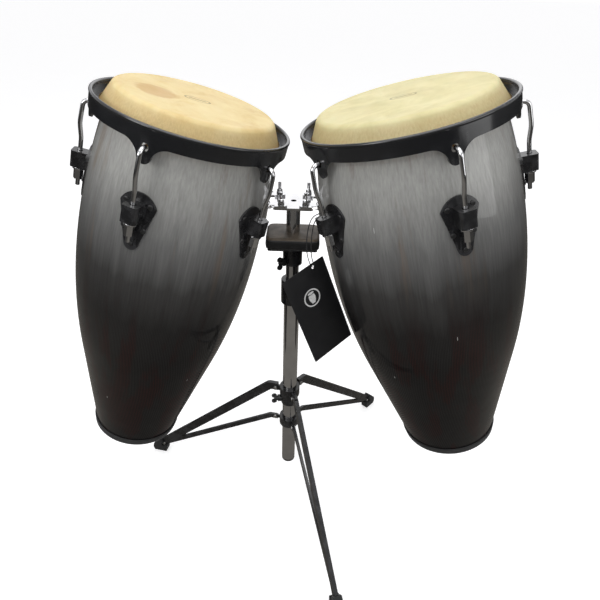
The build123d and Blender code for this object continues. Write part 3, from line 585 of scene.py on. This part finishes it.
def enamelMaterial(name, kind):
    material, tree, shader, place = newMaterial(name, Coat_Weight=kind["coat"], Coat_Roughness=0.12)
    darker = tuple(value * paint["mottle"] for value in kind["shade"])
    tone = rampNode(tree, noiseNode(tree, place, 30.0, 5.0), [(0.3, darker), (0.7, kind["shade"])])
    worn = useGroup(tree, wearGroup, {"Vector": place, "Amount": kind["wear"]})
    tone = mixNode(tree, worn, tone, paint["bare"])
    dust = specks(tree, place, *paint["dust"])
    colourFrom(tree, shader, tinted(tree, tone, dust, paint["dustShare"], paint["dustShade"]))
    roughFrom(tree, shader, place, 22.0, *kind["rough"])
    bumpFrom(tree, shader, noiseNode(tree, place, paint["peel"], 2.0), *paint["bump"])
    return material


# Bare metals: chrome and steels with tarnish spots and fine brushing.
metals = {
    "chrome": {"shade": (0.82, 0.82, 0.83), "rough": (0.05, 0.16), "brushed": 0.02},
    "rivetSteel": {"shade": (0.62, 0.61, 0.6), "rough": (0.2, 0.34), "brushed": 0.08},
    "hoopSteel": {"shade": (0.4, 0.4, 0.4), "rough": (0.3, 0.45), "brushed": 0.05},
}
tarnish = {
    "mottle": 0.88, "spots": (330.0, 0.12, 0.05), "spotShade": (0.16, 0.15, 0.14), "spotShare": 0.35,
    "brushing": ((60, 60, 900), 0.3, 0.7),
}


def metalMaterial(name, kind):
    material, tree, shader, place = newMaterial(name, Metallic=1.0)
    darker = tuple(value * tarnish["mottle"] for value in kind["shade"])
    tone = rampNode(tree, noiseNode(tree, place, 35.0, 4.0), [(0.3, darker), (0.7, kind["shade"])])
    spots = specks(tree, place, *tarnish["spots"])
    colourFrom(tree, shader, tinted(tree, tone, spots, tarnish["spotShare"], tarnish["spotShade"]))
    roughFrom(tree, shader, place, 45.0, *kind["rough"])
    bumpFrom(tree, shader, grain(tree, place, *tarnish["brushing"]), kind["brushed"], 0.0003)
    return material


# Rubber, plastic, cord and card: a dark mottled tone over a fine pebbled surface.
softs = {
    "blackRubber": {"pale": (0.022, 0.022, 0.022), "dark": (0.012, 0.012, 0.012), "cells": 700.0,
                    "rough": (0.55, 0.75), "bump": 0.12, "sheen": 0.15},
    "nylon": {"pale": (0.022, 0.022, 0.023), "dark": (0.014, 0.014, 0.015), "cells": 900.0,
              "rough": (0.4, 0.5), "bump": 0.05, "sheen": 0.0},
    "cordBlack": {"pale": (0.012, 0.012, 0.012), "dark": (0.006, 0.006, 0.006), "cells": 1500.0,
                  "rough": (0.6, 0.75), "bump": 0.4, "sheen": 0.3},
    "blackCard": {"pale": (0.012, 0.012, 0.013), "dark": (0.008, 0.008, 0.009), "cells": 1600.0,
                  "rough": (0.35, 0.5), "bump": 0.08, "sheen": 0.0},
}


def softMaterial(name, kind):
    material, tree, shader, place = newMaterial(name, Sheen_Weight=kind["sheen"], Sheen_Roughness=0.4)
    cloud = noiseNode(tree, place, 45.0, 5.0)
    colourFrom(tree, shader, rampNode(tree, cloud, [(0.3, kind["dark"]), (0.7, kind["pale"])]))
    roughFrom(tree, shader, place, 30.0, *kind["rough"])
    bumpFrom(tree, shader, cellNode(tree, place, kind["cells"], Randomness=0.9), kind["bump"], 0.0006)
    return material


materials = {name: metalMaterial(name, kind) for name, kind in metals.items()}
materials.update({name: enamelMaterial(name, kind) for name, kind in enamels.items()})
materials.update({name: softMaterial(name, kind) for name, kind in softs.items()})
print("materials")


drums["quinto"].update(
    tint={"pale": (0.82, 0.68, 0.38), "middle": (0.74, 0.57, 0.27), "deep": (0.62, 0.42, 0.16),
          "collar": (0.66, 0.5, 0.24)},
    stain={"centre": (-0.06, -0.025, 0.0), "reach": 0.05, "strength": 0.55}, seed=0.3)
drums["conga"].update(
    tint={"pale": (0.78, 0.7, 0.42), "middle": (0.66, 0.59, 0.31), "deep": (0.54, 0.47, 0.22),
          "collar": (0.62, 0.49, 0.25)},
    stain={"centre": (0.03, -0.05, 0.0), "reach": 0.012, "strength": 0.3}, seed=1.7)


def finishPiece(piece, body, slot, material, *nodes):
    piece.data.materials.clear()
    piece.data.materials.append(material)
    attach(piece, body)
    if nodes:
        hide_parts(*nodes)


def makeDrum(name, drum):
    matrix = drumFrame(name)
    piece = lathePiece(f"{name}_lacquered_shell", shellProfile(drum), matrix, shell["segments"])
    material = shellMaterial(f"{name}Lacquer", matrix, drum["seed"])
    finishPiece(piece, "mast", "lacquered_shell", material, f"{name}_shell")
    skin = lathePiece(f"{name}_rawhide_head", headProfile(drum), matrix, head["segments"])
    material = rawhideMaterial(f"{name}Rawhide", matrix, drum)
    finishPiece(skin, "mast", "rawhide", material, f"{name}_head_skin")


for name, drum in drums.items():
    makeDrum(name, drum)
print("shells and heads")


# Metal, enamel and rubber pieces: the frame's own forms, merged, eased along their edges and smoothed.
finish = {
    "chrome": "chrome", "rivet_steel": "rivetSteel", "hoop_steel": "hoopSteel", "rim_enamel": "rimEnamel",
    "black_enamel": "blackEnamel", "black_rubber": "blackRubber", "nylon": "nylon",
    "black_bolt": "blackBolt", "black_screw": "blackScrew", "black_card": "blackCard",
}
easing = {"black_enamel": 0.0006, "rim_enamel": 0.0005, "chrome": 0.0005, "black_rubber": 0.0016}
usualEasing = 0.0004
slotOf = {part["node"]: part["material_slot"] for part in frame["record"]["subparts"]}
bodyOf = {node: body for body, nodes in frame["record"]["behaviour"]["bodies"].items() for node in nodes}


def easeEdges(piece, width, angle=32):
    # Triangles are merged and flat ones dissolved, then every edge sharper than the angle gets a round.
    work = bmesh.new()
    work.from_mesh(piece.data)
    bmesh.ops.remove_doubles(work, verts=work.verts, dist=2e-6)
    bmesh.ops.dissolve_limit(work, angle_limit=math.radians(0.4), verts=work.verts, edges=work.edges)
    bmesh.ops.recalc_face_normals(work, faces=work.faces)
    sharp = math.radians(angle)
    for edge in work.edges:
        edge.smooth = len(edge.link_faces) == 2 and edge.calc_face_angle(0) < sharp
    for face in work.faces:
        face.smooth = True
    work.to_mesh(piece.data)
    work.free()
    bevel = piece.modifiers.new("eased", "BEVEL")
    bevel.width = width
    bevel.segments = 2
    bevel.limit_method = "ANGLE"
    bevel.angle_limit = sharp
    bevel.harden_normals = True
    bevel.use_clamp_overlap = True


def applyModifiers(piece):
    shown = piece.evaluated_get(bpy.context.evaluated_depsgraph_get())
    mesh = bpy.data.meshes.new_from_object(shown)
    piece.modifiers.clear()
    piece.data = mesh


def refine(node):
    slot = slotOf[node]
    mesh = frame["nodes"][node].data.copy()
    piece = bpy.data.objects.new(f"{node}_finished", mesh)
    scene.collection.objects.link(piece)
    easeEdges(piece, easing.get(slot, usualEasing))
    applyModifiers(piece)
    finishPiece(piece, bodyOf[node], slot, materials[finish[slot]], node)


specialNodes = {
    "quinto_shell", "quinto_head_skin", "conga_shell", "conga_head_skin", "rest_cushion", "tag_loop",
}
plainNodes = sorted(set(slotOf) - specialNodes)
for node in plainNodes:
    refine(node)
print("refined", len(plainNodes))


# The rest's cushion: a small padded bumper with a crowned top and a seam round its upper edge.
cushion = {
    "power": 8.5, "crown": 0.0022, "bulge": 0.0012, "columns": 160, "reach": 0.049, "shoulder": 0.0045,
    "seamDrop": 0.0065, "seamWidth": 0.0012, "seamLift": 0.0007, "edge": 0.0031, "edgeIn": 0.004,
    "foot": [(0.049, 0.0), (0.02, 0.0), (0.004, 0.0), (0.0012, 0.0006), (0.0, 0.0024)],
    "topFrom": 0.0062, "topTo": 0.0045, "seamLine": (0.0012, 0.0004), "seamShade": (0.12, 0.12, 0.12),
    "top": [(0.3, (0.13, 0.1, 0.072)), (0.7, (0.25, 0.2, 0.145))],
    "side": [(0.3, (0.008, 0.008, 0.008)), (0.7, (0.016, 0.016, 0.016))],
    "smudges": (40.0, 0.4, 0.55), "cells": 620.0, "bump": (0.35, 0.0005),
}


def cushionProfile(height):
    # Rows of (distance in from the side, height): foot, bulging side, seam, rounded edge, crowned top.
    seam = height - cushion["seamDrop"]
    width = cushion["seamWidth"]
    side = np.linspace(0.12, 0.92, 10)
    turn = np.linspace(0.12, 1, 8) * np.pi / 2
    top = np.linspace(0.15, 1, 9)
    flank = np.stack([-cushion["bulge"] * np.sin(np.pi * side), seam * side], axis=1)
    stitch = [(0.0002, seam - width), (0.0, seam - 0.0008), (-cushion["seamLift"], seam),
              (0.0, seam + 0.0008), (0.0004, seam + width)]
    edge = np.stack([0.0005 + cushion["edgeIn"] * (1 - np.cos(turn)),
                     seam + width + cushion["edge"] * np.sin(turn)], axis=1)
    crown = np.stack([cushion["shoulder"] + (cushion["reach"] - cushion["shoulder"]) * top,
                      height - cushion["crown"] * (1 - top) ** 2], axis=1)
    return np.vstack([cushion["foot"], flank, stitch, edge, crown])


def cushionMaterial(topHeight):
    material, tree, shader, place = newMaterial("cushionCover", Sheen_Weight=0.15)
    height = addNode(tree, "ShaderNodeSeparateXYZ", {0: place}).outputs[2]
    above = spread(tree, height, topHeight - cushion["topFrom"], topHeight - cushion["topTo"])
    fromSeam = mathNode(tree, "SUBTRACT", height, topHeight - cushion["seamDrop"])
    line = spread(tree, mathNode(tree, "ABSOLUTE", fromSeam), *cushion["seamLine"])
    cloud = noiseNode(tree, place, 60.0, 6.0)
    sideTone = rampNode(tree, cloud, cushion["side"])
    tone = mixNode(tree, above, sideTone, rampNode(tree, cloud, cushion["top"]))
    colourFrom(tree, shader, tinted(tree, tone, line, 0.7, cushion["seamShade"]))
    roughFrom(tree, shader, place, *cushion["smudges"])
    bumpFrom(tree, shader, cellNode(tree, place, cushion["cells"]), *cushion["bump"])
    return material


def makeCushion():
    # In plan a rounded rectangle: the cosine and sine of the turn, each raised to a small power.
    low, high = [np.array(corner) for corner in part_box("rest_cushion")]
    middle = (low + high) / 2
    half = (high - low) / 2 - cushion["bulge"]
    turn = np.linspace(0, 2 * np.pi, cushion["columns"], endpoint=False)
    power = 2 / cushion["power"]
    alongX = np.sign(np.cos(turn)) * np.abs(np.cos(turn)) ** power
    alongY = np.sign(np.sin(turn)) * np.abs(np.sin(turn)) ** power
    profile = cushionProfile(high[2] - low[2])
    inset, height = profile[:, :1], profile[:, 1:]
    share = np.clip(1 - inset / half[1], 0, None)
    wide = np.where(inset < 0.005, half[0] - inset, half[0] * share)
    deep = np.where(inset < 0.005, half[1] - inset, half[1] * share)
    points = np.stack([middle[0] + wide * alongX, middle[1] + deep * alongY, low[2] + height + 0 * turn],
                      axis=-1)
    piece = gridPiece("cushion_cover", points)
    finishPiece(piece, "rest", "cushion_vinyl", cushionMaterial(float(high[2])), "rest_cushion")


makeCushion()


# The hang tag: a folded black card, with a plain drum sign printed inside a ring and a painted highlight along its
# fold.
tag = {
    "middle": (0.0525, -0.098, 0.5725), "across": (0.745, 0.599, 0.294), "face": (0.566, -0.801, 0.197),
    "width": 0.092, "height": 0.183, "sheet": 0.0012, "lift": 0.00008, "ring": (0.0174, 0.0148),
    "ringAt": (-0.003, 0.0325), "spine": 0.0009,
    "signWidths": (0.0056, 0.0024, 0.0022), "signHeight": 0.0175, "signRise": 0.0062,
    "lidRise": 0.0096, "lid": (0.0068, 0.0, 0.34),
    "ink": [(0.3, (0.55, 0.55, 0.54)), (0.6, (0.75, 0.75, 0.74))],
    # The fold's grey is lighter than the card's black: a painted highlight along the rounded fold.
    "foldPaintedHighlight": [(0.35, (0.05, 0.05, 0.052)), (0.65, (0.16, 0.16, 0.165))],
}


def tagPoints(points, lift):
    # Points (right, up) on the card, lifted off its front face.
    across = Vector(tag["across"]).normalized()
    face = Vector(tag["face"])
    face = (face - face.dot(across) * across).normalized()
    up = face.cross(across)
    middle = Vector(tag["middle"]) + Vector((standX, standY, 0))
    points = np.asarray(points, float)
    flat = points[..., :1] * np.array(across) + points[..., 1:] * np.array(up)
    return flat + np.array(middle) + np.array(face) * (tag["sheet"] / 2 + np.asarray(lift)[..., None])


def ribbon(outer, inner):
    return np.stack([np.asarray(outer, float), np.asarray(inner, float)], axis=0)


def ringRibbon(centre, outside, inside, squash=1.0, count=96):
    # Centre plus each radius times (cosine, squashed sine) of a full turn.
    angles = np.radians(np.linspace(0, 360, count))
    rim = np.stack([np.cos(angles), squash * np.sin(angles)], axis=1)
    return ribbon(np.array(centre) + rim * outside, np.array(centre) + rim * inside)


def drumSignRibbons(centre):
    # A barrel whose half width swells and then narrows with height, under an oval lid.
    x, y = centre
    height = np.linspace(0, 1, 20)
    base, swell, narrowing = tag["signWidths"]
    half = base + swell * np.sin(np.pi * height ** 0.8) - narrowing * height
    level = y + tag["signRise"] - tag["signHeight"] * height
    body = ribbon(np.stack([x - half, level], axis=1), np.stack([x + half, level], axis=1))
    return [body, ringRibbon((x, y + tag["lidRise"]), *tag["lid"])]


def makeTagPrint():
    # Each flat is two rows of points; where the inner row is one point its quads close to triangles.
    flats = [ringRibbon(tag["ringAt"], *tag["ring"]), *drumSignRibbons(tag["ringAt"])]
    starts = np.cumsum([0] + [flat.size // 2 for flat in flats[:-1]])
    points = np.vstack([tagPoints(flat, tag["lift"]).reshape(-1, 3) for flat in flats])
    quads = np.vstack([start + gridQuads(*flat.shape[:2]) for start, flat in zip(starts, flats)])
    piece = meshPiece("tag_print", points, quads)
    work = bmesh.new()
    work.from_mesh(piece.data)
    bmesh.ops.remove_doubles(work, verts=work.verts, dist=1e-7)
    bmesh.ops.dissolve_degenerate(work, dist=1e-8, edges=work.edges)
    work.to_mesh(piece.data)
    work.free()
    material, tree, shader, place = newMaterial("printedWhite")
    colourFrom(tree, shader, rampNode(tree, noiseNode(tree, place, 400.0, 4.0), tag["ink"]))
    finishPiece(piece, "hang_tag", "black_card", material)


def makeTagFold():
    # The rounded fold down the card's right edge: a thin round rod, one row of points for each turn. It is
    # coloured a lighter grey than the black card, a painted highlight along the fold.
    bow = tag["spine"]
    half = tag["height"] / 2 - 0.003
    along, turn = np.meshgrid(np.linspace(-half, half, 40), np.linspace(0, 2 * np.pi, 20, endpoint=False))
    flat = np.stack([tag["width"] / 2 - 0.0008 + bow * np.cos(turn), along], axis=-1)
    points = tagPoints(flat, -tag["sheet"] / 2 + bow * np.sin(turn))
    piece = gridPiece("tag_fold", points, closedRows=True, closedColumns=False)
    material, tree, shader, place = newMaterial("cardFoldPaintedHighlight", Roughness=0.5)
    # Painted highlight: the fold rod gets a lighter grey than the black card.
    colourFrom(tree, shader, rampNode(tree, noiseNode(tree, place, 500.0, 6.0), tag["foldPaintedHighlight"]))
    finishPiece(piece, "hang_tag", "black_card", material)


makeTagPrint()
makeTagFold()
cordPiece.data.materials.append(materials["cordBlack"])
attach(cordPiece, "mast")
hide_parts("tag_loop")
print("cushion and tag")


# A plain pale floor and soft studio light: each lamp's place, aim, size and power.
studio = {
    "floor": 60.0, "floorTone": 0.86, "glow": 0.62,
    "lights": [
        ("overhead", (0.0, -0.2, 2.6), (0, 0, 0.4), 2.2, 26),
        ("keyLeft", (-1.9, -1.7, 1.9), (0, 0, 0.6), 1.1, 20),
        ("fillRight", (2.2, -1.2, 1.5), (0, 0, 0.6), 1.6, 11),
        ("backEdge", (0.3, 2.4, 1.7), (0, 0, 0.9), 2.4, 9),
    ],
    "room": [
        (0.0, (0.16, 0.155, 0.15)), (0.49, (0.1, 0.1, 0.1)), (0.66, (0.42, 0.42, 0.43)),
        (1.0, (0.62, 0.62, 0.63))],
    "mirror": [
        (0.0, (0.08, 0.075, 0.07)), (0.2, (0.17, 0.16, 0.145)), (0.38, (0.05, 0.048, 0.045)),
        (0.49, (0.015, 0.015, 0.015)), (0.56, (0.25, 0.25, 0.25)), (0.64, (0.85, 0.85, 0.87)),
        (0.8, (0.42, 0.42, 0.43)), (1.0, (0.95, 0.95, 0.97))],
}


def makeLight(name, place, aim, size, power):
    data = bpy.data.lights.new(name, "AREA")
    data.shape = "SQUARE"
    data.size = size
    data.energy = power
    lamp = bpy.data.objects.new(name, data)
    lamp.location = place
    direction = Vector(aim) - Vector(place)
    lamp.rotation_euler = direction.to_track_quat("-Z", "Y").to_euler()
    lamp.visible_camera = False
    scene.collection.objects.link(lamp)


def makeFloor():
    # Rings of growing reach round the stand, a little below its feet.
    turn = np.linspace(0, 2 * np.pi, 96, endpoint=False)
    reach = np.array([0.001, 1.0, 3.0, 12.0, studio["floor"]])[:, None]
    points = np.stack([reach * np.cos(turn), reach * np.sin(turn), 0 * reach * turn - 0.0002], axis=-1)
    floor = gridPiece("floor", points)
    floor.data.materials.append(floorMaterial())
    if floor.data.polygons[0].normal.z < 0:
        floor.data.flip_normals()
    floor.visible_glossy = False


def floorMaterial():
    material, tree, shader, place = newMaterial("paleFloor", Roughness=0.7, Specular_IOR_Level=0.1)
    cloud = noiseNode(tree, place, 3.0, 4.0)
    level = studio["floorTone"]
    tone = rampNode(tree, cloud, [(0.3, (level * 0.99,) * 3), (0.7, (level,) * 3)])
    colourFrom(tree, shader, tone)
    tree.links.new(tone, shader.inputs["Emission Color"])
    seen = addNode(tree, "ShaderNodeLightPath").outputs["Is Camera Ray"]
    tree.links.new(times(tree, seen, studio["glow"]), shader.inputs["Emission Strength"])
    return material


def makeWorld():
    # White where the camera looks past the floor; for reflections a bright ceiling over a darker room.
    world = bpy.data.worlds.new("studio")
    world.use_nodes = True
    scene.world = world
    tree = world.node_tree
    shader = tree.nodes["Background"]
    direction = addNode(tree, "ShaderNodeTexCoord").outputs["Generated"]
    parts = addNode(tree, "ShaderNodeSeparateXYZ", {0: direction})
    height = mathNode(tree, "MULTIPLY_ADD", parts.outputs[2], 0.5, 0.5)
    room = rampNode(tree, height, studio["room"])
    mirror = rampNode(tree, height, studio["mirror"])
    path = addNode(tree, "ShaderNodeLightPath")
    shade = mixNode(tree, path.outputs["Is Glossy Ray"], room, mirror)
    shade = mixNode(tree, path.outputs["Is Camera Ray"], shade, (1, 1, 1, 1))
    tree.links.new(shade, shader.inputs["Color"])


for settings in studio["lights"]:
    makeLight(*settings)
makeFloor()
makeWorld()
print("studio")
